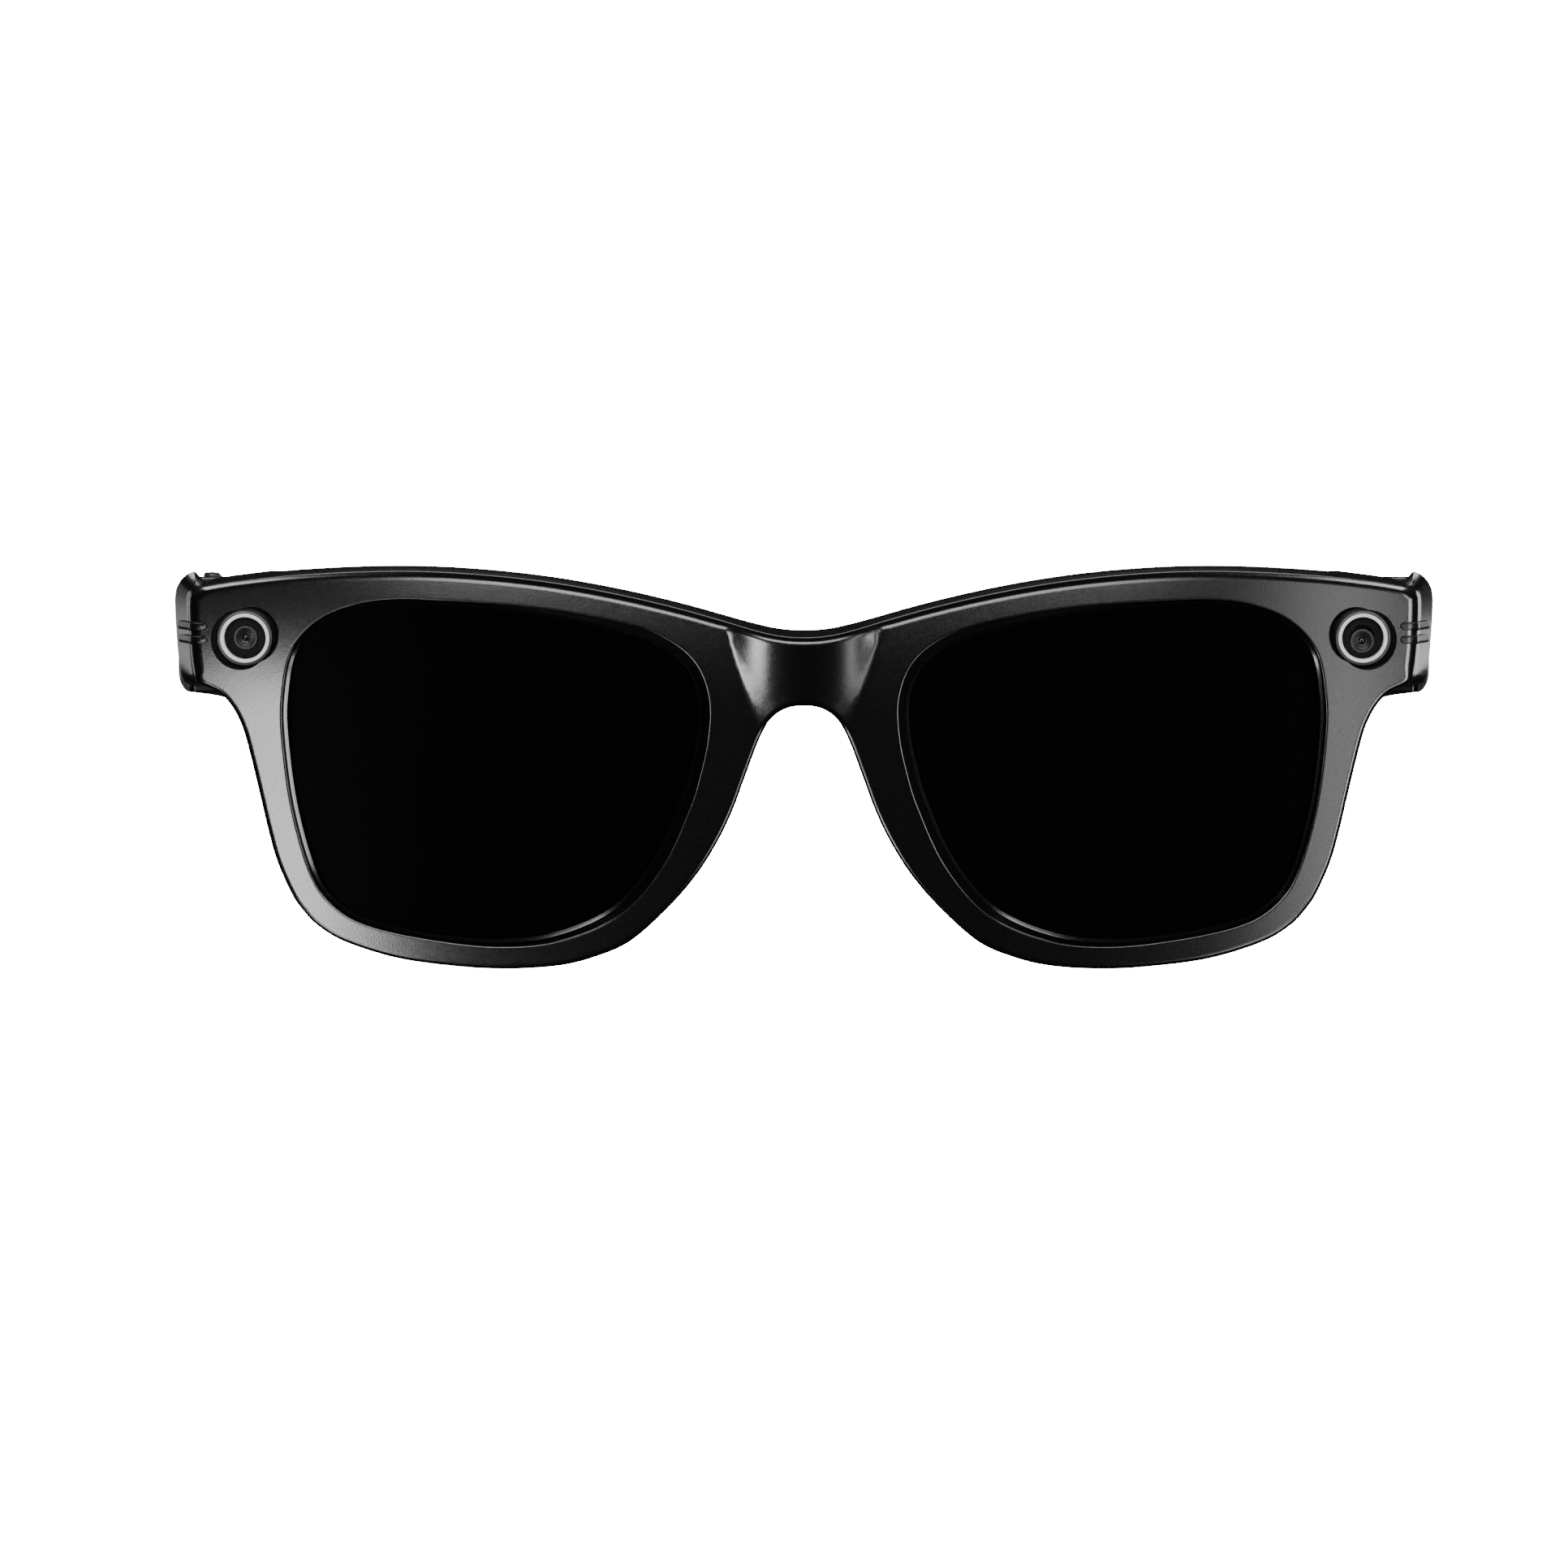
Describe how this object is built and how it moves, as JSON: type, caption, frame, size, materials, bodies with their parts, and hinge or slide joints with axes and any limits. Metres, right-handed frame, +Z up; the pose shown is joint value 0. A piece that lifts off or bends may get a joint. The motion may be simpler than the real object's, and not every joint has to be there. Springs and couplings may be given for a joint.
{
  "type": "smart glasses",
  "caption": "Classic thick-rimmed smart glasses: dark lenses, a ringed camera in each endpiece, folding temples with electronics, a capture button and a power slider.",
  "frame": {"origin": "middle of the box under the standing glasses, at table level", "axes": "+X to the wearer's left, -Y the way the wearer looks, +Z up with the temples open and the glasses standing on a table"},
  "size_m": [0.1512, 0.1524, 0.0476],
  "materials": {
    "front_plastic": "satin black with a fine grain",
    "temple_plastic": "satin black",
    "cover_plastic": "satin black",
    "dark_lens": "dark tinted, glossy",
    "bezel_metal": "dark anodised, turned",
    "light_ring": "white, slightly translucent",
    "camera_glass": "clear coated glass",
    "camera_black": "black",
    "circuit_board": "solder mask",
    "pin_metal": "black gloss",
    "hinge_steel": "brushed",
    "flex_film": "amber film",
    "shield_metal": "tinned",
    "contact_brass": "gold plated",
    "grille_metal": "black coated",
    "button_plastic": "satin black",
    "battery_foil": "foil pouch"
  },
  "bodies": {
    "front": {"front_frame": "front_plastic", "front_back_cover": "cover_plastic", "lens_right": "dark_lens", "lens_left": "dark_lens", "camera_bezel_right": "bezel_metal", "camera_bezel_left": "bezel_metal", "light_ring_right": "light_ring", "light_ring_left": "light_ring", "camera_window_right": "camera_glass", "camera_window_left": "camera_glass", "camera_module_right": "camera_black", "camera_module_left": "camera_black", "camera_board_right": "circuit_board", "camera_board_left": "circuit_board", "trim_pins_right": "pin_metal", "trim_pins_left": "pin_metal", "hinge_front_leaf_right": "hinge_steel", "hinge_front_leaf_left": "hinge_steel", "hinge_pin_right": "hinge_steel", "hinge_pin_left": "hinge_steel", "front_hinge_screws": "hinge_steel", "front_flex_cable": "flex_film", "bridge_microphone": "shield_metal", "charge_contacts": "contact_brass"},
    "temple_right": {"temple_housing_right": "temple_plastic", "temple_cover_right": "cover_plastic", "hinge_temple_leaf_right": "hinge_steel", "temple_hinge_screws_right": "hinge_steel", "speaker_right": "camera_black", "speaker_grille_right": "grille_metal", "temple_microphone_right": "shield_metal", "main_board": "circuit_board", "shield_can": "shield_metal", "touch_sensor": "flex_film", "status_light": "light_ring", "button_switch": "shield_metal"},
    "temple_left": {"temple_housing_left": "temple_plastic", "temple_cover_left": "cover_plastic", "hinge_temple_leaf_left": "hinge_steel", "temple_hinge_screws_left": "hinge_steel", "speaker_left": "camera_black", "speaker_grille_left": "grille_metal", "temple_microphone_left": "shield_metal", "battery_cell": "battery_foil", "protection_board": "circuit_board", "power_switch": "shield_metal"},
    "capture_button": {"capture_button": "button_plastic"},
    "power_slider": {"power_slider": "button_plastic"}
  },
  "joints": [
    {"name": "left_temple_fold", "type": "hinge", "parent": "front", "child": "temple_left", "pos_m": [0.0658, -0.05652, 0.0393], "axis": [0, -0.0332, 0.9995], "range_deg": [0, 88]},
    {"name": "right_temple_fold", "type": "hinge", "parent": "front", "child": "temple_right", "pos_m": [-0.0658, -0.05652, 0.0393], "axis": [0, 0.0332, -0.9995], "range_deg": [0, 78]},
    {"name": "capture_button_press", "type": "slide", "parent": "temple_right", "child": "capture_button", "axis": [-0.0031, -0.1633, -0.9866], "range_m": [0, 0.0004], "stiffness_N_per_m": 600},
    {"name": "power_slider_slide", "type": "slide", "parent": "temple_left", "child": "power_slider", "axis": [-0.0154, 0.9865, -0.1633], "range_m": [0, 0.002]}
  ]
}
